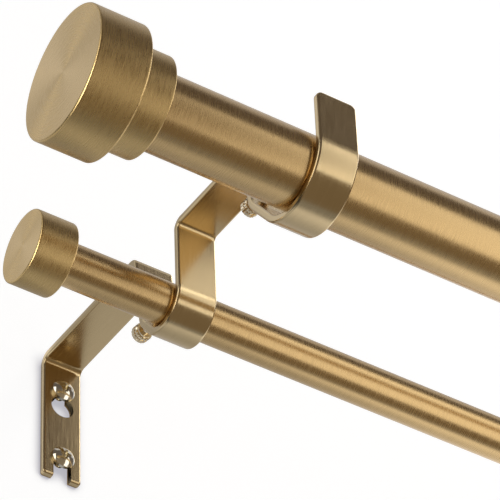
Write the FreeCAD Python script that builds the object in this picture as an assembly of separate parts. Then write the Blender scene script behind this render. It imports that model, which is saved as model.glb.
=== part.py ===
import FreeCAD, Part
import math
import os

from collections import namedtuple
from FreeCAD import Vector

# A double curtain pole: a thick front pole and a thin rear pole, each of two telescoping tubes,
# carried on two wall brackets that are each bent from one flat strip.
# Millimetres. +X runs along the poles, +Y points into the wall, +Z is up.
# The origin is on the wall, midway between the two wall screws of the left bracket.

# Poles
front_pole_d = 28.0
front_inner_d = 25.0
rear_pole_d = 16.0
rear_inner_d = 13.0
outer_wall = 1.2
inner_wall = 1.0
tube_edge_r = 0.3
front_pole_to_wall = 170.8
front_pole_z = -16.9
pole_spacing = 84.5
rear_pole_rise = 6.9

# Lengths along the poles, at rest
bracket_span = 566.0
outer_tube_end_to_bracket = 12.0
front_push_in = 68.0
rear_push_in = 47.0

# Bracket strip
strip_w = 16.0
strip_t = 3.0
strip_edge_r = 0.9
plate_bend_inner_r = 2.2
bend_inner_r = 1.4
plate_foot_z = -25.9
arm_fall_deg = 4.0
rear_arm_z = 29.8
front_arm_z = 19.9
leg_lean_deg = 8.0
heel_lean_deg = 35.0
heel_bend_r = 12.0
front_leg_to_pole = 27.7
rear_leg_to_pole = 15.2
front_cradle_r = 16.2
rear_cradle_r = 9.0
seat_gap = 0.25
seat_deg = 43.0
tab_top_z = 6.8
tab_corner_r = 2.5
foot_corner_r = 1.2

# Wall screws and their openings in the plate
screw_spacing = 33.0
keyhole_drop = 7.7
keyhole_clearance = 0.1
narrow_slot_w = 5.0
open_slot_w = 7.4
screw_head_r = 4.6
screw_head_h = 3.3
screw_head_edge = 1.1
screw_neck_r = 1.5
screw_thread_r = 2.0
screw_len = 38.0
screw_point_len = 5.0
recess_w = 1.1
recess_reach = 2.5
recess_depth = 1.7
recess_floor_share = 0.45

# Clamp screws that hold the poles in their cradles
front_clamp_hole_z = -1.0
rear_clamp_hole_z = -2.1
clamp_fall_deg = 14.0
clamp_shank_r = 1.95
clamp_hole_clearance = 0.1
front_clamp_shank_len = 25.7
rear_clamp_shank_len = 18.0
clamp_tip_gap = 0.2
clamp_tip_chamfer = 0.5
clamp_head_r = 3.5
clamp_head_h = 4.7
clamp_head_edge = 0.4
clamp_collar_r = 2.9
clamp_collar_h = 0.8
knurl_count = 18
knurl_r = 0.32
ring_groove_w = 0.7
ring_groove_depth = 0.35

# End caps
front_cap_r = 25.0
front_cap_len = 20.0
front_cap_step_r = 18.85
front_cap_step_len = 13.0
rear_cap_r = 14.0
rear_cap_len = 15.0
cap_edge_r = 0.7
step_edge_r = 0.5
front_cap_mouth_x = -65.0
rear_cap_mouth_x = -50.0
socket_clearance = 0.2
front_socket_depth = 16.0
rear_socket_depth = 10.0

# Plugs and studs that hold the caps on the tubes
plug_clearance = 0.05
plug_len = 18.0
plug_collar_h = 1.5
plug_bore_depth = 12.0
plug_chamfer = 0.8
stud_r = 2.9
stud_clearance = 0.1
stud_in_plug = 10.0
front_stud_in_cap = 10.0
rear_stud_in_cap = 3.4
stud_hole_spare = 1.0
stud_chamfer = 0.5

# How far a cutting shape runs past the face it opens
overrun = 1.0

# Worked out from the values above
front_y = -front_pole_to_wall
rear_y = front_y + pole_spacing
rear_z = front_pole_z + rear_pole_rise
half_t = strip_t / 2
half_w = strip_w / 2
plate_bend_mid_r = plate_bend_inner_r + half_t
bend_mid_r = bend_inner_r + half_t
upper_screw_z = screw_spacing / 2
keyhole_r = screw_head_r + keyhole_clearance
along_x = Vector(1, 0, 0)
into_wall = Vector(0, 1, 0)


def point(y, z):
    """A point in the plane across the poles."""
    return Vector(0, y, z)


def towards(deg):
    """A unit vector in the plane across the poles; 0 points to the wall, 90 points up."""
    return point(math.cos(math.radians(deg)), math.sin(math.radians(deg)))


def meet(p, u, q, v):
    """Where the line through p along u crosses the line through q along v."""
    along = ((q.y - p.y) * v.z - (q.z - p.z) * v.y) / (u.y * v.z - u.z * v.y)
    return p + u * along


def left_of(u):
    """The unit vector a quarter turn from u, seen along X."""
    return point(-u.z, u.y)


def cradle_centre(pole_y, pole_z, pole_d, cradle_r):
    """The centre of a cradle whose lower front carries a pole with its axis at this place."""
    return point(pole_y, pole_z) + towards(seat_deg) * (cradle_r - pole_d / 2 - seat_gap)


# The strip's course, from the foot of the wall plate to the tip of the tab, as a list of straight
# runs. Each has a point, a direction and the mid-line radius of the bend that leads into it. The leg
# behind a pole comes down past its clamp hole and slants in at the heel to meet the round cradle.
front_cradle = cradle_centre(front_y, front_pole_z, front_pole_d, front_cradle_r)
rear_cradle = cradle_centre(rear_y, rear_z, rear_pole_d, rear_cradle_r)
front_mid_r = front_cradle_r + half_t
rear_mid_r = rear_cradle_r + half_t
front_clamp_hole = point(front_y + front_leg_to_pole, front_clamp_hole_z)
rear_clamp_hole = point(rear_y + rear_leg_to_pole, rear_clamp_hole_z)
upright = towards(90)
down_leg = towards(270 - leg_lean_deg)
down_heel = towards(270 - heel_lean_deg)
heel_side = towards(-heel_lean_deg)
arm_run = towards(180 + arm_fall_deg)
strip_runs = [
    (point(-half_t, plate_foot_z), upright, 0),
    (point(-half_t, rear_arm_z + half_t), arm_run, plate_bend_mid_r),
    (rear_clamp_hole, down_leg, bend_mid_r),
    (rear_cradle + heel_side * rear_mid_r, down_heel, heel_bend_r),
    (rear_cradle - into_wall * rear_mid_r, upright, rear_mid_r),
    (point(rear_cradle.y - rear_mid_r, front_arm_z + half_t), arm_run, bend_mid_r),
    (front_clamp_hole, down_leg, bend_mid_r),
    (front_cradle + heel_side * front_mid_r, down_heel, heel_bend_r),
    (front_cradle - into_wall * front_mid_r, upright, front_mid_r),
]


def strip_side(offset):
    """The edges along one face of the strip, at this distance to the left of its mid-line."""
    lines = [(p + left_of(u) * offset, u, r) for p, u, r in strip_runs]
    edges = []
    start = lines[0][0]
    for (p, u, _), (q, v, mid_r) in zip(lines, lines[1:]):
        turn = math.atan2(u.y * v.z - u.z * v.y, u.y * v.y + u.z * v.z)
        side = math.copysign(1, turn)
        r = mid_r - side * offset
        corner = meet(p, u, q, v)
        cut = r * math.tan(abs(turn) / 2)
        bend_in = corner - u * cut
        bend_out = corner + v * cut
        centre = bend_in + left_of(u) * (side * r)
        middle = centre + (corner - centre).normalize() * r
        edges.append(Part.LineSegment(start, bend_in).toShape())
        edges.append(Part.Arc(bend_in, middle, bend_out).toShape())
        start = bend_out
    end = point(start.y, tab_top_z)
    edges.append(Part.LineSegment(start, end).toShape())
    return edges, lines[0][0], end


def strip_blank():
    """The bent strip with square edges and no holes."""
    inner, inner_start, inner_end = strip_side(half_t)
    outer, outer_start, outer_end = strip_side(-half_t)
    foot = Part.LineSegment(inner_start, outer_start).toShape()
    tip = Part.LineSegment(inner_end, outer_end).toShape()
    outline = Part.Wire(Part.sortEdges(inner + outer + [foot, tip])[0])
    face = Part.Face(outline)
    face.translate(along_x * -half_w)
    return face.extrude(along_x * strip_w)


def rod(start, axis, radius, length):
    return Part.makeCylinder(radius, length, start, axis)


# Clamp screws point down towards the room.
clamp_axis = towards(180 + clamp_fall_deg)


def lies_across(edge):
    """True for an edge on one of the strip's two sides."""
    box = edge.BoundBox
    return box.XLength < 1e-3 and abs(abs(box.XMin) - half_w) < 1e-3


def round_strip(solid):
    """Rounds the corners of the strip's two ends, then both of its long edges all the way."""
    for end_z, corner_r in ((tab_top_z, tab_corner_r), (plate_foot_z, foot_corner_r)):
        corners = [e for e in solid.Edges if lies_across(e) and abs(e.BoundBox.Center.z - end_z) < 1e-3]
        solid = solid.makeFillet(corner_r, corners)
    long_edges = [e for e in solid.Edges if lies_across(e) and e.Length > strip_t + 1e-3]
    return solid.makeFillet(strip_edge_r, long_edges)


def plate_cuts():
    """The keyhole for the upper wall screw and the open-ended slot for the lower one."""
    through = strip_t + 2 * overrun
    front = -strip_t - overrun
    keyhole_z = upper_screw_z - keyhole_drop
    slot_foot = plate_foot_z - overrun
    slot_h = -upper_screw_z - slot_foot
    return [
        rod(point(front, upper_screw_z), into_wall, narrow_slot_w / 2, through),
        Part.makeBox(narrow_slot_w, through, keyhole_drop, Vector(-narrow_slot_w / 2, front, keyhole_z)),
        rod(point(front, keyhole_z), into_wall, keyhole_r, through),
        rod(point(front, -upper_screw_z), into_wall, open_slot_w / 2, through),
        Part.makeBox(open_slot_w, through, slot_h, Vector(-open_slot_w / 2, front, slot_foot)),
    ]


def bracket():
    """One bracket, with its mid-plane at X = 0."""
    solid = round_strip(strip_blank())
    hole_r = clamp_shank_r + clamp_hole_clearance
    reach = strip_t + overrun
    cuts = plate_cuts()
    for hole in (front_clamp_hole, rear_clamp_hole):
        cuts.append(rod(hole - clamp_axis * reach, clamp_axis, hole_r, 2 * reach))
    for cut in cuts:
        solid = solid.cut(cut)
    return solid.removeSplitter()


def revolve(profile):
    """Turns a closed outline of (distance along X, radius) points about the X axis."""
    wire = Part.makePolygon([Vector(x, r, 0) for x, r in profile + profile[:1]])
    return Part.Face(wire).revolve(Vector(0, 0, 0), along_x, 360)


def aimed(solid, place, axis):
    """Turns a piece that was made along the X axis to this axis, and puts its start at this place."""
    solid.Placement = FreeCAD.Placement(place, FreeCAD.Rotation(along_x, axis))
    return solid


def ring_edges(solid, radius, x):
    """The circular edges of this radius that lie across X at this place."""
    found = []
    for edge in solid.Edges:
        curve = edge.Curve
        is_ring = isinstance(curve, Part.Circle) and abs(curve.Radius - radius) < 1e-4
        if is_ring and abs(curve.Center.x - x) < 1e-4:
            found.append(edge)
    return found


def tube(outer_d, wall, start, end, y, z):
    centre = Vector(start, y, z)
    outer_r = outer_d / 2
    solid = rod(centre, along_x, outer_r, end - start)
    solid = solid.cut(rod(centre, along_x, outer_r - wall, end - start))
    return solid.makeFillet(tube_edge_r, ring_edges(solid, outer_r, start) + ring_edges(solid, outer_r, end))


def cap(steps, socket_r, socket_depth, stud_in_cap):
    """A turned end cap with its face at X = 0 and its mouth at +X. steps holds (radius, length) pairs."""
    face_r, face_len = steps[0]
    length = sum(step_len for _, step_len in steps)
    solid = rod(Vector(0, 0, 0), along_x, face_r, face_len)
    start = face_len
    for radius, step_len in steps[1:]:
        solid = solid.fuse(rod(Vector(start, 0, 0), along_x, radius, step_len))
        start += step_len
    solid = solid.makeFillet(cap_edge_r, ring_edges(solid, face_r, 0) + ring_edges(solid, face_r, face_len))
    if len(steps) > 1:
        solid = solid.makeFillet(step_edge_r, ring_edges(solid, steps[-1][0], length))
    socket_floor = length - socket_depth
    solid = solid.cut(rod(Vector(socket_floor, 0, 0), along_x, socket_r, socket_depth))
    hole_r = stud_r + stud_clearance
    hole_len = stud_in_cap + stud_hole_spare
    return solid.cut(rod(Vector(socket_floor - hole_len, 0, 0), along_x, hole_r, hole_len))


def plug(bore_r, collar_r, collar_h):
    """A plug that fills a tube's end. The tube ends at X = 0 and runs to +X; the collar is at -X."""
    body_r = bore_r - plug_clearance
    profile = [
        (-collar_h, 0),
        (-collar_h, collar_r),
        (0, collar_r),
        (0, body_r),
        (plug_len - plug_chamfer, body_r),
        (plug_len, body_r - plug_chamfer),
        (plug_len, 0),
    ]
    stud_hole = rod(Vector(-collar_h, 0, 0), along_x, stud_r + stud_clearance, collar_h + plug_bore_depth)
    return revolve(profile).cut(stud_hole)


def stud(start, end):
    """A threaded stud along X."""
    profile = [
        (start, 0),
        (start, stud_r - stud_chamfer),
        (start + stud_chamfer, stud_r),
        (end - stud_chamfer, stud_r),
        (end, stud_r - stud_chamfer),
        (end, 0),
    ]
    return revolve(profile)


def cross_recess(top):
    """A cross-shaped pit that narrows with depth, opening towards -X at this place."""

    def cross(depth):
        share = 1 - (1 - recess_floor_share) * depth / recess_depth
        half = recess_w / 2 * share
        reach = recess_reach * share
        corners = []
        for quarter in range(4):
            c = math.cos(quarter * math.pi / 2)
            s = math.sin(quarter * math.pi / 2)
            for y, z in ((half, reach), (half, half), (reach, half)):
                corners.append(Vector(top + depth, y * c + z * s, z * c - y * s))
        return Part.makePolygon(corners + corners[:1])

    return Part.makeLoft([cross(-overrun), cross(recess_depth)], True, True)


def wall_screw(z):
    """A domed cross-head screw that holds the plate to the wall. Its thread starts at the wall."""
    head_back = -strip_t
    rim_x = head_back - screw_head_edge
    top_x = head_back - screw_head_h
    rise = rim_x - top_x
    dome_r = (rise**2 + screw_head_r**2) / (2 * rise)
    half_way = math.asin(screw_head_r / dome_r) / 2
    dome_mid = Vector(top_x + dome_r * (1 - math.cos(half_way)), dome_r * math.sin(half_way), 0)
    profile = [
        (rim_x, screw_head_r),
        (head_back, screw_head_r),
        (head_back, screw_neck_r),
        (0, screw_neck_r),
        (0, screw_thread_r),
        (screw_len - screw_point_len, screw_thread_r),
        (screw_len, 0),
        (top_x, 0),
    ]
    corners = [Vector(x, r, 0) for x, r in profile]
    edges = [Part.LineSegment(here, there).toShape() for here, there in zip(corners, corners[1:])]
    edges.append(Part.Arc(corners[-1], dome_mid, corners[0]).toShape())
    solid = Part.Face(Part.Wire(edges)).revolve(Vector(0, 0, 0), along_x, 360)
    return aimed(solid.cut(cross_recess(top_x)), point(0, z), into_wall)


def clamp_tip(hole, pole_y, pole_z, pole_d):
    """The point on a clamp screw's axis where its flat tip stands just clear of the pole."""
    to_pole = point(pole_y, pole_z) - hole
    aside = abs(to_pole.y * clamp_axis.z - to_pole.z * clamp_axis.y)
    nearest = max(aside - (clamp_shank_r - clamp_tip_chamfer), 0)
    reach = to_pole.dot(clamp_axis) - math.sqrt((pole_d / 2 + clamp_tip_gap) ** 2 - nearest**2)
    return hole + clamp_axis * reach


def clamp_screw(tip, shank_len):
    """A thumb screw with a knurled head and a ring groove. tip is the middle of its flat end."""
    shank_r = clamp_shank_r
    head_r = clamp_head_r
    edge = clamp_head_edge
    head_start = shank_len + clamp_collar_h
    top = shank_len + clamp_head_h
    groove_start = shank_len + (clamp_head_h - ring_groove_w) / 2
    groove_end = groove_start + ring_groove_w
    groove_r = head_r - ring_groove_depth
    profile = [
        (0, 0),
        (0, shank_r - clamp_tip_chamfer),
        (clamp_tip_chamfer, shank_r),
        (shank_len, shank_r),
        (shank_len, clamp_collar_r),
        (head_start, clamp_collar_r),
        (head_start, head_r - edge),
        (head_start + edge, head_r),
        (groove_start, head_r),
        (groove_start, groove_r),
        (groove_end, groove_r),
        (groove_end, head_r),
        (top - edge, head_r),
        (top, head_r - edge),
        (top, 0),
    ]
    solid = revolve(profile)
    flutes = []
    for n in range(knurl_count):
        angle = 2 * math.pi * n / knurl_count
        flute_start = Vector(head_start - overrun, head_r * math.cos(angle), head_r * math.sin(angle))
        flutes.append(rod(flute_start, along_x, knurl_r, clamp_head_h + 2 * overrun))
    return aimed(solid.cut(Part.makeCompound(flutes)), tip, clamp_axis * -1)


def placed(solid, x, y, z, turn_deg=0):
    """A copy turned by this angle about the upright axis, then moved by x, y and z."""
    copy = solid.copy()
    turn = FreeCAD.Rotation(Vector(0, 0, 1), turn_deg)
    copy.Placement = FreeCAD.Placement(Vector(x, y, z), turn).multiply(copy.Placement)
    return copy


Pole = namedtuple(
    "Pole",
    "name y z outer_d inner_d push_in cap_steps mouth_x socket_depth stud_in_cap clamp_hole clamp_shank_len",
)
front_pole = Pole(
    name="front",
    y=front_y,
    z=front_pole_z,
    outer_d=front_pole_d,
    inner_d=front_inner_d,
    push_in=front_push_in,
    cap_steps=[(front_cap_r, front_cap_len), (front_cap_step_r, front_cap_step_len)],
    mouth_x=front_cap_mouth_x,
    socket_depth=front_socket_depth,
    stud_in_cap=front_stud_in_cap,
    clamp_hole=front_clamp_hole,
    clamp_shank_len=front_clamp_shank_len,
)
rear_pole = Pole(
    name="rear",
    y=rear_y,
    z=rear_z,
    outer_d=rear_pole_d,
    inner_d=rear_inner_d,
    push_in=rear_push_in,
    cap_steps=[(rear_cap_r, rear_cap_len)],
    mouth_x=rear_cap_mouth_x,
    socket_depth=rear_socket_depth,
    stud_in_cap=rear_stud_in_cap,
    clamp_hole=rear_clamp_hole,
    clamp_shank_len=rear_clamp_shank_len,
)
poles = [front_pole, rear_pole]


def right_bracket_rise():
    """How much higher the right bracket stands, so that the thinner inner tube seats in it."""
    reach = front_cradle_r - front_inner_d / 2 - seat_gap
    aside = front_cradle.y - front_y
    return math.sqrt(reach**2 - aside**2) - (front_cradle.z - front_pole_z)


def bracket_end(x, rise, tube_ds):
    """A bracket with its wall and clamp screws. tube_ds holds the diameters of the tubes it carries."""
    made = {
        "bracket": placed(bracket(), x, 0, rise),
        "upper_wall_screw": placed(wall_screw(upper_screw_z), x, 0, rise),
        "lower_wall_screw": placed(wall_screw(-upper_screw_z), x, 0, rise),
    }
    for pole, tube_d in zip(poles, tube_ds):
        tip = clamp_tip(pole.clamp_hole + point(0, rise), pole.y, pole.z, tube_d)
        made[pole.name + "_clamp_screw"] = placed(clamp_screw(tip, pole.clamp_shank_len), x, 0, 0)
    return made


def cap_end(pole, bore_r, collar_h):
    """A cap with its plug and stud for the left end of a pole on the X axis, and where its tube ends."""
    cap_len = sum(step_len for _, step_len in pole.cap_steps)
    socket_r = pole.outer_d / 2 + socket_clearance
    socket_floor = pole.mouth_x - pole.socket_depth
    tube_end = socket_floor + collar_h
    made_cap = cap(pole.cap_steps, socket_r, pole.socket_depth, pole.stud_in_cap)
    made = {
        "cap": placed(made_cap, pole.mouth_x - cap_len, 0, 0),
        "plug": placed(plug(bore_r, pole.outer_d / 2, collar_h), tube_end, 0, 0),
        "stud": stud(socket_floor - pole.stud_in_cap, tube_end + stud_in_plug),
    }
    return made, tube_end


def build_parts():
    parts = {}
    left = bracket_end(0, 0, [pole.outer_d for pole in poles])
    right = bracket_end(bracket_span, right_bracket_rise(), [pole.inner_d for pole in poles])
    parts.update({"left_" + name: solid for name, solid in left.items()})
    parts.update({"right_" + name: solid for name, solid in right.items()})
    outer_end = bracket_span - half_w - outer_tube_end_to_bracket
    for pole in poles:
        # The outer tube enters its cap; the inner tube stops at the cap's mouth, on a longer collar.
        left, left_end = cap_end(pole, pole.outer_d / 2 - outer_wall, plug_collar_h)
        right, right_end = cap_end(pole, pole.inner_d / 2 - inner_wall, pole.socket_depth)
        for name, solid in left.items():
            parts["left_" + pole.name + "_" + name] = placed(solid, 0, pole.y, pole.z)
        for name, solid in right.items():
            parts["right_" + pole.name + "_" + name] = placed(solid, bracket_span, pole.y, pole.z, 180)
        # The inner tube can be pushed in further by push_in before it meets the left plug.
        inner_start = left_end + plug_len + pole.push_in
        outer = tube(pole.outer_d, outer_wall, left_end, outer_end, pole.y, pole.z)
        inner = tube(pole.inner_d, inner_wall, inner_start, bracket_span - right_end, pole.y, pole.z)
        parts[pole.name + "_outer_tube"] = outer
        parts[pole.name + "_inner_tube"] = inner
    return parts


os.makedirs("parts", exist_ok=True)
for node, solid in sorted(build_parts().items()):
    solid.exportStep("parts/" + node + ".step")
    print(node, round(solid.Volume, 1), solid.isValid(), len(solid.Solids))
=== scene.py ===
import math

import bmesh
import bpy
from mathutils import Matrix, Vector


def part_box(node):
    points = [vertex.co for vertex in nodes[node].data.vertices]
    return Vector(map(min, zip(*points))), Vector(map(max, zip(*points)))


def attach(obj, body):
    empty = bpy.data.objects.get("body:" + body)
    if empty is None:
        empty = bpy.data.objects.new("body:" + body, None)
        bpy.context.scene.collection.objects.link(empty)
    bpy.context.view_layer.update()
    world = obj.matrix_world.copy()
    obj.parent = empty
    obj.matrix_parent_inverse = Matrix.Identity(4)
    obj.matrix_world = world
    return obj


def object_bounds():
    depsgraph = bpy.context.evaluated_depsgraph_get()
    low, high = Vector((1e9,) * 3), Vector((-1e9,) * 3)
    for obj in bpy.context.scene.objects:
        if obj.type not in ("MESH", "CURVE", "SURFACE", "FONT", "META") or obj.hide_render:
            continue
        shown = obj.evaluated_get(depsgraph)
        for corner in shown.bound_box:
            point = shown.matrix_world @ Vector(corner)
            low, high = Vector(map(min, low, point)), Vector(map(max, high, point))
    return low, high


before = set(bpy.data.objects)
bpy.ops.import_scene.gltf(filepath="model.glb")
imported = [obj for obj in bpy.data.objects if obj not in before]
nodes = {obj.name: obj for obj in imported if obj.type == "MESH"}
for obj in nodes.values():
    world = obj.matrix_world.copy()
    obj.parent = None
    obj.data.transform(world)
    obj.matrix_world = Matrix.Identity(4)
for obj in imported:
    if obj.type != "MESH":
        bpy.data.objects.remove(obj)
cad_low, cad_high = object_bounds()

# The camera: where it stands, which way it looks and how far it is rolled
CAMERA_AT = Vector((-0.559013, -0.962946, -0.992663))
CAMERA_YAW = math.radians(56.0857)
CAMERA_PITCH = math.radians(44.2113)
CAMERA_ROLL = math.radians(-2.4073)
CAMERA_LENS = 290.6085
SENSOR_WIDTH = 36.0
CLIP_START = 0.01
CLIP_END = 50

# The axes of the two poles, from the frame
POLE_AXES = {}
for pole in ("front", "rear"):
    low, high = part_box(pole + "_outer_tube")
    POLE_AXES[pole] = Vector((0, (low.y + high.y) / 2, (low.z + high.z) / 2))

# Finishes
BRASS_DEEP = (0.555, 0.382, 0.176)
BRASS_PALE = (0.685, 0.478, 0.226)
CAP_DEEP = (0.560, 0.392, 0.168)
CAP_PALE = (0.692, 0.490, 0.214)
STRIP_DEEP = (0.615, 0.468, 0.252)
STRIP_PALE = (0.685, 0.528, 0.292)
NICKEL_DEEP = (0.74, 0.66, 0.48)
NICKEL_PALE = (0.97, 0.92, 0.78)
SCREW_BRASS_DEEP = (0.72, 0.58, 0.37)
SCREW_BRASS_PALE = (0.97, 0.86, 0.63)
ZINC_DEEP = (0.38, 0.39, 0.40)
ZINC_PALE = (0.56, 0.57, 0.58)
NYLON_DEEP = (0.012, 0.012, 0.013)
NYLON_PALE = (0.030, 0.030, 0.032)

# Brush lines: each layer's output, and how much finer it is across and along the lines than the finish says
BRUSH_LAYERS = (("Grain", 1.0, 1.0), ("Fine", 2.3, 2.0))
BRUSH_DETAIL = 3.0
BRUSH_ROUGHNESS = 0.6
CLOUD_SCALE = 45.0
CLOUD_DETAIL = 2.0
TONE_SHARES = (("Grain", 0.62), ("Fine", 0.23), ("Cloud", 0.15))
GROOVE_SHARES = (("Grain", 1.0), ("Fine", 0.4))
TONE_ENDS = (0.30, 0.70)
SMOOTHER_BY = 0.05
ROUGHER_BY = 0.06

# Handling marks on polished pieces
SMUDGE_DETAIL = 3.0
SPECKS_PER_SMUDGE = 4.0
SMUDGE_ENDS = (0.30, 0.65)
SMUDGE_GLOSS = (0.7, 1.6)

# Where most values of a noise texture lie
NOISE_ENDS = (0.3, 0.7)


def link(tree, here, there):
    tree.links.new(here, there)


def add_node(tree, kind, **settings):
    node = tree.nodes.new(kind)
    for name, value in settings.items():
        setattr(node, name, value)
    return node


def group_sockets(group, inputs, outputs):
    """Names a group's sockets. inputs holds (name, type, default) and outputs (name, type)."""
    for name, kind, default in inputs:
        socket = group.interface.new_socket(name, in_out="INPUT", socket_type=kind)
        if default is not None:
            socket.default_value = default
    for name, kind in outputs:
        group.interface.new_socket(name, in_out="OUTPUT", socket_type=kind)
    source = add_node(group, "NodeGroupInput")
    result = add_node(group, "NodeGroupOutput")
    return source, result


def maths(tree, operation, first, second):
    """A Math node on two values, each a socket or a number."""
    node = add_node(tree, "ShaderNodeMath", operation=operation)
    for slot, value in zip(node.inputs, (first, second)):
        if isinstance(value, (int, float)):
            slot.default_value = value
        else:
            link(tree, value, slot)
    return node.outputs[0]


def brush_grain_group():
    """Fine brush lines. They run round a turned piece, also across its face, or along a flat strip."""
    group = bpy.data.node_groups.new("Brush grain", "ShaderNodeTree")
    source, result = group_sockets(
        group,
        [
            ("Position", "NodeSocketVector", None),
            ("Axis", "NodeSocketVector", None),
            ("Round", "NodeSocketFloat", 1.0),
            ("Across", "NodeSocketFloat", 1500.0),
            ("Along", "NodeSocketFloat", 120.0),
        ],
        [("Grain", "NodeSocketFloat"), ("Fine", "NodeSocketFloat"), ("Cloud", "NodeSocketFloat")],
    )
    from_axis = add_node(group, "ShaderNodeVectorMath", operation="SUBTRACT")
    link(group, source.outputs["Position"], from_axis.inputs[0])
    link(group, source.outputs["Axis"], from_axis.inputs[1])
    across_pole = add_node(group, "ShaderNodeVectorMath", operation="MULTIPLY")
    link(group, from_axis.outputs[0], across_pole.inputs[0])
    across_pole.inputs[1].default_value = (0, 1, 1)
    radius = add_node(group, "ShaderNodeVectorMath", operation="LENGTH")
    link(group, across_pole.outputs[0], radius.inputs[0])
    split = add_node(group, "ShaderNodeSeparateXYZ")
    link(group, source.outputs["Position"], split.inputs[0])
    ring = maths(group, "MULTIPLY", radius.outputs["Value"], source.outputs["Round"])
    line = maths(group, "ADD", split.outputs["X"], ring)
    for output, across_share, along_share in BRUSH_LAYERS:
        stretched = add_node(group, "ShaderNodeCombineXYZ")
        across = maths(group, "MULTIPLY", source.outputs["Across"], across_share)
        along = maths(group, "MULTIPLY", source.outputs["Along"], along_share)
        link(group, maths(group, "MULTIPLY", line, across), stretched.inputs["X"])
        link(group, maths(group, "MULTIPLY", split.outputs["Y"], along), stretched.inputs["Y"])
        link(group, maths(group, "MULTIPLY", split.outputs["Z"], along), stretched.inputs["Z"])
        noise = add_node(group, "ShaderNodeTexNoise")
        noise.inputs["Scale"].default_value = 1.0
        noise.inputs["Detail"].default_value = BRUSH_DETAIL
        noise.inputs["Roughness"].default_value = BRUSH_ROUGHNESS
        link(group, stretched.outputs[0], noise.inputs["Vector"])
        link(group, noise.outputs["Fac"], result.inputs[output])
    cloud = add_node(group, "ShaderNodeTexNoise")
    cloud.inputs["Scale"].default_value = CLOUD_SCALE
    cloud.inputs["Detail"].default_value = CLOUD_DETAIL
    link(group, source.outputs["Position"], cloud.inputs["Vector"])
    link(group, cloud.outputs["Fac"], result.inputs["Cloud"])
    return group


def handling_group():
    """Faint smudges and hairline marks on a polished or moulded surface."""
    group = bpy.data.node_groups.new("Handling marks", "ShaderNodeTree")
    source, result = group_sockets(
        group,
        [("Position", "NodeSocketVector", None), ("Size", "NodeSocketFloat", 300.0)],
        [("Smudge", "NodeSocketFloat"), ("Speck", "NodeSocketFloat")],
    )
    smudge = add_node(group, "ShaderNodeTexNoise")
    smudge.inputs["Detail"].default_value = SMUDGE_DETAIL
    speck = add_node(group, "ShaderNodeTexVoronoi")
    for node, share in ((smudge, 1.0), (speck, SPECKS_PER_SMUDGE)):
        link(group, source.outputs["Position"], node.inputs["Vector"])
        link(group, maths(group, "MULTIPLY", source.outputs["Size"], share), node.inputs["Scale"])
    link(group, smudge.outputs["Fac"], result.inputs["Smudge"])
    link(group, speck.outputs["Distance"], result.inputs["Speck"])
    return group


BRUSH_GRAIN = brush_grain_group()
HANDLING = handling_group()


def new_material(name):
    material = bpy.data.materials.new(name)
    material.use_nodes = True
    tree = material.node_tree
    return material, tree, tree.nodes["Principled BSDF"]


def ramp(tree, value, stops):
    """A colour ramp over a value. stops holds (place, colour) pairs."""
    node = add_node(tree, "ShaderNodeValToRGB")
    elements = node.color_ramp.elements
    while len(elements) < len(stops):
        elements.new(0.5)
    for element, (place, colour) in zip(elements, stops):
        element.position = place
        element.color = (*colour, 1)
    link(tree, value, node.inputs["Fac"])
    return node.outputs["Color"]


def ranged(tree, value, ends, steps="LINEAR"):
    """Takes a value from one pair of ends to another, and holds it there outside them."""
    (low_in, low_out), (high_in, high_out) = ends
    node = add_node(tree, "ShaderNodeMapRange", interpolation_type=steps)
    node.inputs["From Min"].default_value = low_in
    node.inputs["From Max"].default_value = high_in
    node.inputs["To Min"].default_value = low_out
    node.inputs["To Max"].default_value = high_out
    link(tree, value, node.inputs["Value"])
    return node.outputs["Result"]


def spread(tree, noise, low, high):
    """Sets a noise value out between two ends."""
    return ranged(tree, noise, ((NOISE_ENDS[0], low), (NOISE_ENDS[1], high)))


def from_nought_to_one(tree, value, ends):
    """Takes a value between two ends to one between 0 and 1."""
    return ranged(tree, value, ((ends[0], 0.0), (ends[1], 1.0)))


def blend_values(tree, share, first, second):
    node = add_node(tree, "ShaderNodeMix", data_type="FLOAT")
    link(tree, share, node.inputs[0])
    link(tree, first, node.inputs[2])
    link(tree, second, node.inputs[3])
    return node.outputs[0]


def blend_colours(tree, share, first, second):
    """Goes from the first colour to the second. Each is a socket or three numbers."""
    node = add_node(tree, "ShaderNodeMix", data_type="RGBA")
    link(tree, share, node.inputs[0])
    for slot, colour in ((node.inputs[6], first), (node.inputs[7], second)):
        if isinstance(colour, tuple):
            slot.default_value = (*colour, 1)
        else:
            link(tree, colour, slot)
    return node.outputs[2]


def weighted(tree, node, shares):
    """The sum of a node's outputs, each times its share. shares holds (output, share) pairs."""
    parts = [maths(tree, "MULTIPLY", node.outputs[output], share) for output, share in shares]
    total = parts[0]
    for part in parts[1:]:
        total = maths(tree, "ADD", total, part)
    return total


def put_bump(tree, shader, height, depth):
    bump = add_node(tree, "ShaderNodeBump")
    bump.inputs["Strength"].default_value = 1.0
    bump.inputs["Distance"].default_value = depth
    link(tree, height, bump.inputs["Height"])
    link(tree, bump.outputs["Normal"], shader.inputs["Normal"])


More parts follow.
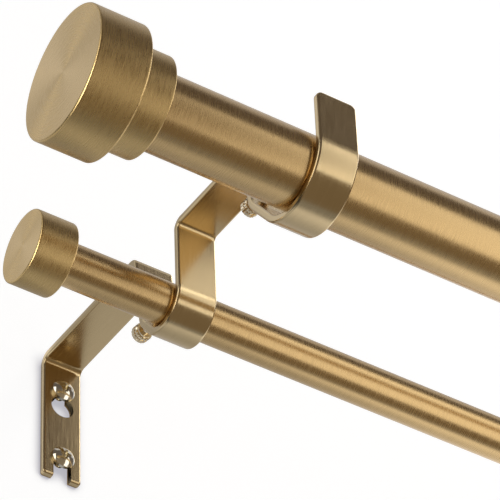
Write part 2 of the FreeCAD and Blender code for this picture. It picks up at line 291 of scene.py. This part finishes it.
def brushed_brass(name, axis, turned, deep, pale, across, along, roughness, anisotropy, groove):
    """Lacquered antique brass with brush lines round a turned piece, or along the strip."""
    material, tree, shader = new_material(name)
    place = add_node(tree, "ShaderNodeTexCoord").outputs["Object"]
    grain = add_node(tree, "ShaderNodeGroup", node_tree=BRUSH_GRAIN)
    link(tree, place, grain.inputs["Position"])
    grain.inputs["Axis"].default_value = axis
    grain.inputs["Round"].default_value = 1.0 if turned else 0.0
    grain.inputs["Across"].default_value = across
    grain.inputs["Along"].default_value = along
    tones = list(zip(TONE_ENDS, (deep, pale)))
    link(tree, ramp(tree, weighted(tree, grain, TONE_SHARES), tones), shader.inputs["Base Color"])
    rough = spread(tree, grain.outputs["Grain"], roughness - SMOOTHER_BY, roughness + ROUGHER_BY)
    link(tree, rough, shader.inputs["Roughness"])
    put_bump(tree, shader, weighted(tree, grain, GROOVE_SHARES), groove)
    shader.inputs["Metallic"].default_value = 1.0
    shader.inputs["Anisotropic"].default_value = anisotropy
    if turned:
        from_axis = add_node(tree, "ShaderNodeVectorMath", operation="SUBTRACT")
        link(tree, place, from_axis.inputs[0])
        from_axis.inputs[1].default_value = axis
        round_axis = add_node(tree, "ShaderNodeVectorMath", operation="CROSS_PRODUCT")
        round_axis.inputs[0].default_value = (1, 0, 0)
        link(tree, from_axis.outputs[0], round_axis.inputs[1])
        link(tree, round_axis.outputs[0], shader.inputs["Tangent"])
    return material


def polished(name, deep, pale, roughness, metallic, marks_per_metre, mark_depth):
    """Plated steel or moulded nylon with handling marks."""
    material, tree, shader = new_material(name)
    place = add_node(tree, "ShaderNodeTexCoord").outputs["Object"]
    marks = add_node(tree, "ShaderNodeGroup", node_tree=HANDLING)
    link(tree, place, marks.inputs["Position"])
    marks.inputs["Size"].default_value = marks_per_metre
    tones = list(zip(SMUDGE_ENDS, (deep, pale)))
    link(tree, ramp(tree, marks.outputs["Smudge"], tones), shader.inputs["Base Color"])
    smoother, rougher = [roughness * share for share in SMUDGE_GLOSS]
    link(tree, spread(tree, marks.outputs["Smudge"], smoother, rougher), shader.inputs["Roughness"])
    put_bump(tree, shader, marks.outputs["Speck"], mark_depth)
    shader.inputs["Metallic"].default_value = metallic
    return material


def give(names, material):
    """Puts one material on these CAD pieces."""
    for name in names:
        slots = nodes[name].data.materials
        slots.clear()
        slots.append(material)


def finish_pieces():
    """Gives every CAD piece its material, and returns that of the wall screws."""
    for pole, axis in POLE_AXES.items():
        tube_brass = brushed_brass(
            pole + " pole brass", axis, True, BRASS_DEEP, BRASS_PALE,
            across=2600, along=170, roughness=0.27, anisotropy=0.35, groove=0.0000004,
        )
        cap_brass = brushed_brass(
            pole + " cap brass", axis, True, CAP_DEEP, CAP_PALE,
            across=2400, along=200, roughness=0.28, anisotropy=0.79, groove=0.00000012,
        )
        give([pole + "_outer_tube", pole + "_inner_tube"], tube_brass)
        give(["left_" + pole + "_cap", "right_" + pole + "_cap"], cap_brass)
    strip_brass = brushed_brass(
        "Strip brass", (0, 0, 0), False, STRIP_DEEP, STRIP_PALE,
        across=2600, along=80, roughness=0.21, anisotropy=0.0, groove=0.0000001,
    )
    nickel = polished(
        "Wall screw nickel", NICKEL_DEEP, NICKEL_PALE,
        roughness=0.10, metallic=1.0, marks_per_metre=260, mark_depth=0.000006,
    )
    screw_brass = polished(
        "Clamp screw brass", SCREW_BRASS_DEEP, SCREW_BRASS_PALE,
        roughness=0.11, metallic=1.0, marks_per_metre=320, mark_depth=0.000006,
    )
    zinc = polished(
        "Stud zinc", ZINC_DEEP, ZINC_PALE,
        roughness=0.30, metallic=1.0, marks_per_metre=400, mark_depth=0.000010,
    )
    nylon = polished(
        "Plug nylon", NYLON_DEEP, NYLON_PALE,
        roughness=0.40, metallic=0.0, marks_per_metre=500, mark_depth=0.000015,
    )
    for side in ("left", "right"):
        give([side + "_bracket"], strip_brass)
        give([side + "_upper_wall_screw", side + "_lower_wall_screw"], nickel)
        for pole in POLE_AXES:
            give([side + "_" + pole + "_clamp_screw"], screw_brass)
            give([side + "_" + pole + "_stud"], zinc)
            give([side + "_" + pole + "_plug"], nylon)
    return nickel


# Threads on the wall screws
THREAD_PITCH = 0.0022
THREAD_ROOT_R = 0.0019
THREAD_CREST_R = 0.0026
THREAD_FOOT_W = 0.0009
THREAD_START_Y = 0.004
THREAD_END_TO_TIP = 0.0075
THREAD_STEPS = 32
WELD_WITHIN = 1e-7


def screw_thread(name, shank, body, material):
    """A helical ridge round the shank of a wall screw, swept from one small triangle."""
    low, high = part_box(shank)
    axis_x = (low.x + high.x) / 2
    axis_z = (low.z + high.z) / 2
    thread_len = high.y - THREAD_END_TO_TIP - THREAD_START_Y
    bpy.ops.object.select_all(action="DESELECT")
    bpy.ops.mesh.primitive_circle_add(vertices=3, radius=THREAD_FOOT_W, fill_type="NGON", location=(0, 0, 0))
    piece = bpy.context.active_object
    corners = ((THREAD_ROOT_R, -THREAD_FOOT_W / 2), (THREAD_ROOT_R, THREAD_FOOT_W / 2), (THREAD_CREST_R, 0))
    for vertex, (radius, height) in zip(piece.data.vertices, corners):
        vertex.co = (radius, 0, height)
    sweep = piece.modifiers.new("Sweep", "SCREW")
    sweep.axis = "Z"
    sweep.angle = 2 * math.pi
    sweep.screw_offset = THREAD_PITCH
    sweep.iterations = int(thread_len / THREAD_PITCH)
    sweep.steps = THREAD_STEPS
    sweep.render_steps = THREAD_STEPS
    sweep.use_smooth_shade = False
    sweep.use_normal_calculate = True
    bpy.ops.object.modifier_apply(modifier=sweep.name)
    along_wall_screw = Matrix.Rotation(math.radians(-90), 4, "X")
    piece.data.transform(Matrix.Translation((axis_x, THREAD_START_Y, axis_z)) @ along_wall_screw)
    mesh = bmesh.new()
    mesh.from_mesh(piece.data)
    bmesh.ops.remove_doubles(mesh, verts=mesh.verts, dist=WELD_WITHIN)
    bmesh.ops.recalc_face_normals(mesh, faces=mesh.faces)
    mesh.to_mesh(piece.data)
    mesh.free()
    piece.name = name
    piece.data.materials.clear()
    piece.data.materials.append(material)
    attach(piece, body)


# The room: a wall just behind the plates and a floor far below
WALL_GAP = 0.0003
WALL_SIZE = 4.4
FLOOR_Z = -1.35
FLOOR_SIZE = 8.8
PAINT_ROUGHNESS = 0.9
WALL_WHITE = (0.30, 0.30, 0.30)
WALL_GLOW = 0.90
FLOOR_PALE = (0.62, 0.61, 0.60)
FLOOR_GLOW = 0.70

# The shadow painted into the wall's glow close to the plates: its reach, the way to its lamp, and the shares
# of open sky between which it fades, for the camera and for metal. Rays shorter than OPEN_REACH pass through
# the wall.
SHADOW_TINT = (0.50, 0.50, 0.55)
SHADOW_REACH = 0.008
SHADOW_SAMPLES = 16
SHADOW_TOWARDS_LAMP = (0.72, -0.42, 0.55)
SHADOW_FADE = ((0.45, 0.0), (0.90, 1.0))
MIRRORED_FADE = ((0.40, 0.0), (0.88, 1.0))
OPEN_REACH = 0.0015

# What the brass mirrors: the wall as a cool card, a painted reflection that glows for metal alone. Its glow
# is set out along X, low down and high up, and then along Z. Places go from 0 at the first end to 1 at the
# second.
CARD_COLOUR = (0.96, 0.97, 1.02)
CARD_ENDS = (-0.35, 0.35)
CARD_LOW = (
    (0.10, 0.08), (0.32, 0.90), (0.41, 0.45), (0.478, 0.50),
    (0.485, 1.30), (0.489, 0.55), (0.63, 0.68), (0.79, 1.35),
)
CARD_HIGH = ((0.10, 0.60), (0.30, 0.92), (0.40, 0.42), (0.71, 0.72))
CARD_RISE = (0.02, 0.18)
CARD_HEIGHTS = (-0.50, 0.10)
CARD_FALL = ((0.10, 0.22), (0.38, 1.0), (0.52, 1.0), (0.72, 0.72), (0.88, 1.0))

# The dim warm studio that metal mirrors beyond the lamps, by how steeply a ray falls or rises
STUDIO_LOW = (0.225, 0.180, 0.130)
STUDIO_HIGH = (0.125, 0.108, 0.104)
STUDIO_STEEPNESS = (-0.4, 0.4)

# Colours, places and groups of CAD pieces that the lamps share
WHITE = (1, 1, 1)
SKY_WHITE = (0.95, 0.98, 1.06)
PART_MIDDLE = (0.05, -0.10, -0.01)
FRONT_CAP_MIDDLE = (-0.09, -0.17, -0.02)
BRACKETS = ("left_bracket", "right_bracket")
REAR_TUBES = ("rear_outer_tube", "rear_inner_tube")
CAPS = ("left_front_cap", "left_rear_cap", "right_front_cap", "right_rear_cap")

# The lamps: name, place, the point each faces, (width, height), glow, and how it differs from a white lamp
# that lights every piece, shows in metal and leaves the wall's paint alone
LAMPS = (
    ("front softbox", (0.96, -1.18, -0.32), (0.96, -0.171, -0.017), (1.0, 1.76), 1.22,
     {"leaves": BRACKETS, "on_paint": True}),
    ("bracket softbox", (0.96, -1.219, 0.079), (0.96, -0.19, -0.005), (1.0, 1.44), 1.42,
     {"only": BRACKETS}),
    ("bracket kicker", (0.064, -0.1995, 0.1003), (0.0, -0.1045, -0.0107), (0.08, 0.032), 0.92,
     {"only": BRACKETS}),
    ("plate card", (0.066, -0.0625, 0.065), (0.014, -0.003, -0.005), (0.04, 0.07), 0.32,
     {"only": BRACKETS}),
    ("front arm card", (0.006, -0.125, 0.004), (0.002, -0.119, 0.011), (0.030, 0.021), 0.72,
     {"only": BRACKETS}),
    ("rear pole card", (0.96, -1.066, 0.489), (0.96, -0.0863, -0.010), (1.0, 0.24), 1.6,
     {"only": REAR_TUBES}),
    ("bracket edge card", (0.41, -0.16, 0.42), (0.0, -0.05, 0.0), (0.2, 0.3), 3.6,
     {"only": BRACKETS}),
    ("left softbox", (-1.30, -0.62, 0.10), PART_MIDDLE, (0.7, 1.5), 1.6,
     {}),
    ("top left card", (0.05, -0.30, 1.10), (0.05, -0.12, 0.0), (1.0, 0.42), 0.45,
     {"colour": SKY_WHITE}),
    ("top right card", (1.05, -0.30, 1.10), (1.05, -0.12, 0.0), (1.0, 0.42), 0.62,
     {"colour": SKY_WHITE}),
    ("shadow lamp", (0.9, -1.1, 1.3), PART_MIDDLE, (0.5, 0.5), 5.0,
     {"in_gloss": False, "on_paint": True}),
    ("cap rim card", (-0.95, -0.55, -0.75), FRONT_CAP_MIDDLE, (0.6, 1.5), 6.0,
     {"only": CAPS}),
    ("cap back edge card", (1.35, -0.33, 0.45), FRONT_CAP_MIDDLE, (0.5, 1.1), 3.5,
     {"only": CAPS}),
    ("cap band card", (0.34, -1.0, -0.57), FRONT_CAP_MIDDLE, (0.5, 0.6), 0.24,
     {"only": CAPS}),
)


def stage_paint(name, colour, glow):
    """Pale paint that glows for the camera. Metal mirrors it as an emission of its own instead."""
    material, tree, shader = new_material(name)
    shader.inputs["Base Color"].default_value = (*colour, 1)
    shader.inputs["Roughness"].default_value = PAINT_ROUGHNESS
    shader.inputs["Specular IOR Level"].default_value = 0.0
    path = add_node(tree, "ShaderNodeLightPath")
    seen = maths(tree, "MAXIMUM", path.outputs["Is Camera Ray"], path.outputs["Is Transmission Ray"])
    link(tree, maths(tree, "MULTIPLY", seen, glow), shader.inputs["Emission Strength"])
    shader.inputs["Emission Color"].default_value = (*WHITE, 1)
    mirrored = add_node(tree, "ShaderNodeEmission")
    paint = add_node(tree, "ShaderNodeMixShader")
    link(tree, path.outputs["Is Glossy Ray"], paint.inputs["Fac"])
    link(tree, shader.outputs[0], paint.inputs[1])
    link(tree, mirrored.outputs[0], paint.inputs[2])
    link(tree, paint.outputs[0], tree.nodes["Material Output"].inputs["Surface"])
    return material, shader, mirrored, paint


def card_glow(tree):
    """How brightly the wall shows in metal, by its place, as a painted reflection."""
    split = add_node(tree, "ShaderNodeSeparateXYZ")
    link(tree, add_node(tree, "ShaderNodeNewGeometry").outputs["Position"], split.inputs[0])
    across = from_nought_to_one(tree, split.outputs["X"], CARD_ENDS)
    upwards = from_nought_to_one(tree, split.outputs["Z"], CARD_HEIGHTS)
    low, high, fall = [
        ramp(tree, value, [(at, (glow,) * 3) for at, glow in stops])
        for value, stops in ((across, CARD_LOW), (across, CARD_HIGH), (upwards, CARD_FALL))
    ]
    rise = ranged(tree, split.outputs["Z"], ((CARD_RISE[0], 0), (CARD_RISE[1], 1)), "SMOOTHSTEP")
    return maths(tree, "MULTIPLY", blend_values(tree, rise, low, high), fall)


def wall_paint():
    """White paint whose glow holds a painted soft shadow close to the plates. It is clear from behind and to
    a plate's back.
    """
    material, shader, mirrored, paint = stage_paint("Wall paint", WALL_WHITE, WALL_GLOW)
    tree = material.node_tree
    near = add_node(tree, "ShaderNodeAmbientOcclusion", samples=SHADOW_SAMPLES)
    near.inputs["Distance"].default_value = SHADOW_REACH
    near.inputs["Normal"].default_value = SHADOW_TOWARDS_LAMP
    # Painted shadow: the wall's glow goes towards SHADOW_TINT where the plates close it in.
    lit = ranged(tree, near.outputs["AO"], SHADOW_FADE)
    link(tree, blend_colours(tree, lit, SHADOW_TINT, WHITE), shader.inputs["Emission Color"])
    # Painted reflection: a glow that only metal sees, with bright stops that make painted highlight lines in
    # the brass.
    mirrored.inputs["Color"].default_value = (*CARD_COLOUR, 1)
    # Painted shade in metal: the glow that metal mirrors dims where the plates close the wall in.
    mirrored_unshaded = ranged(tree, near.outputs["AO"], MIRRORED_FADE)
    link(tree, maths(tree, "MULTIPLY", card_glow(tree), mirrored_unshaded), mirrored.inputs["Strength"])
    ray_length = add_node(tree, "ShaderNodeLightPath").outputs["Ray Length"]
    touching = maths(tree, "LESS_THAN", ray_length, OPEN_REACH)
    behind = add_node(tree, "ShaderNodeNewGeometry").outputs["Backfacing"]
    sided = add_node(tree, "ShaderNodeMixShader")
    link(tree, maths(tree, "MAXIMUM", behind, touching), sided.inputs["Fac"])
    link(tree, paint.outputs[0], sided.inputs[1])
    link(tree, add_node(tree, "ShaderNodeBsdfTransparent").outputs[0], sided.inputs[2])
    link(tree, sided.outputs[0], tree.nodes["Material Output"].inputs["Surface"])
    return material


def floor_paint():
    material, _, mirrored, _ = stage_paint("Floor paint", FLOOR_PALE, FLOOR_GLOW)
    mirrored.inputs["Color"].default_value = (*STUDIO_LOW, 1)
    return material


def room():
    centre = (cad_low + cad_high) / 2
    bpy.ops.object.select_all(action="DESELECT")
    bpy.ops.mesh.primitive_plane_add(
        size=WALL_SIZE, location=(centre.x, WALL_GAP, 0), rotation=(math.radians(90), 0, 0)
    )
    wall = bpy.context.active_object
    wall.name = "wall"
    wall.data.materials.append(wall_paint())
    bpy.ops.mesh.primitive_plane_add(size=FLOOR_SIZE, location=(centre.x, 0, FLOOR_Z))
    floor = bpy.context.active_object
    floor.name = "floor"
    floor.data.materials.append(floor_paint())


def softbox(name, place, faces, size, glow, colour=WHITE, in_gloss=True, on_paint=False, only=(), leaves=()):
    """A rectangular lamp of an even glow that the camera doesn't see. It can light only some CAD pieces."""
    width, height = size
    data = bpy.data.lights.new(name, "AREA")
    data.shape = "RECTANGLE"
    data.size = width
    data.size_y = height
    data.energy = glow * math.pi * width * height
    data.color = colour
    lamp = bpy.data.objects.new(name, data)
    bpy.context.scene.collection.objects.link(lamp)
    lamp.location = place
    lamp.rotation_euler = (Vector(faces) - Vector(place)).to_track_quat("-Z", "Y").to_euler()
    lamp.visible_camera = False
    lamp.visible_glossy = in_gloss
    lamp.visible_diffuse = on_paint
    if only or leaves:
        group = bpy.data.collections.new(name + " pieces")
        for piece in only or leaves:
            group.objects.link(nodes[piece])
        for member in group.collection_objects:
            member.light_linking.link_state = "INCLUDE" if only else "EXCLUDE"
        lamp.light_linking.receiver_collection = group


def studio_world():
    """White for the camera, and a dim warm studio in metal."""
    world = bpy.data.worlds.new("Studio")
    bpy.context.scene.world = world
    world.use_nodes = True
    tree = world.node_tree
    height = add_node(tree, "ShaderNodeSeparateXYZ")
    link(tree, add_node(tree, "ShaderNodeTexCoord").outputs["Generated"], height.inputs[0])
    rise = from_nought_to_one(tree, height.outputs["Z"], STUDIO_STEEPNESS)
    studio = ramp(tree, rise, [(0.0, STUDIO_LOW), (1.0, STUDIO_HIGH)])
    from_camera = add_node(tree, "ShaderNodeLightPath").outputs["Is Camera Ray"]
    link(tree, blend_colours(tree, from_camera, studio, WHITE), tree.nodes["Background"].inputs["Color"])


def camera():
    forward = Vector((
        math.cos(CAMERA_YAW) * math.cos(CAMERA_PITCH),
        math.sin(CAMERA_YAW) * math.cos(CAMERA_PITCH),
        math.sin(CAMERA_PITCH),
    ))
    level = forward.cross(Vector((0, 0, 1))).normalized()
    above = level.cross(forward)
    right = level * math.cos(CAMERA_ROLL) + above * math.sin(CAMERA_ROLL)
    up = above * math.cos(CAMERA_ROLL) - level * math.sin(CAMERA_ROLL)
    turn = Matrix((right, up, -forward)).transposed()
    data = bpy.data.cameras.new("Camera")
    data.lens = CAMERA_LENS
    data.sensor_width = SENSOR_WIDTH
    data.clip_start = CLIP_START
    data.clip_end = CLIP_END
    made = bpy.data.objects.new("Camera", data)
    made.location = CAMERA_AT
    made.rotation_euler = turn.to_euler()
    bpy.context.scene.collection.objects.link(made)
    bpy.context.scene.camera = made


camera()
screw_metal = finish_pieces()
for side, body in (("left", "left_side"), ("right", "right_support")):
    for level_name in ("upper", "lower"):
        screw = side + "_" + level_name + "_wall_screw"
        screw_thread(screw + "_thread", screw, body, screw_metal)
room()
for name, place, faces, size, glow, settings in LAMPS:
    softbox(name, place, faces, size, glow, **settings)
studio_world()
bpy.context.scene.view_settings.view_transform = "Standard"
